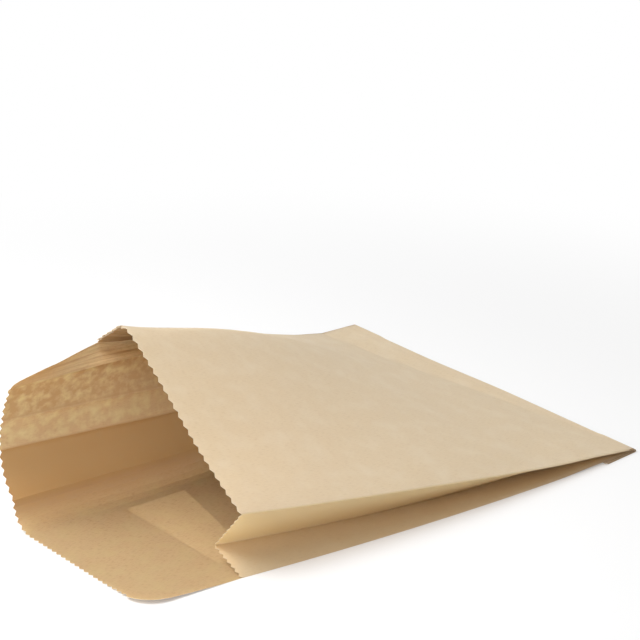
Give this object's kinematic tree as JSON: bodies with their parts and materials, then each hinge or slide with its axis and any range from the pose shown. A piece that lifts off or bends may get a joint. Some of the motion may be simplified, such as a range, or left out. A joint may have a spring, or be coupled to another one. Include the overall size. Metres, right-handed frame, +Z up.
{
  "type": "brown paper sandwich bag",
  "caption": "Brown paper sandwich bag with side gussets and toothed edges, lying on its back panel with the mouth held open and the closed end folded under.",
  "frame": {"origin": "on the ground under the middle of the bag's bounding box", "axes": "+X along the bag from the open mouth to the closed end, +Y across it towards the curled side, +Z up"},
  "size_m": [0.2296, 0.1788, 0.0727],
  "materials": {
    "brown_paper": "uncoated machine-finished brown paper, matt, with a faint sheen on the smooth side"
  },
  "bodies": {
    "root": {"paper_bag": "brown_paper"}
  },
  "joints": []
}
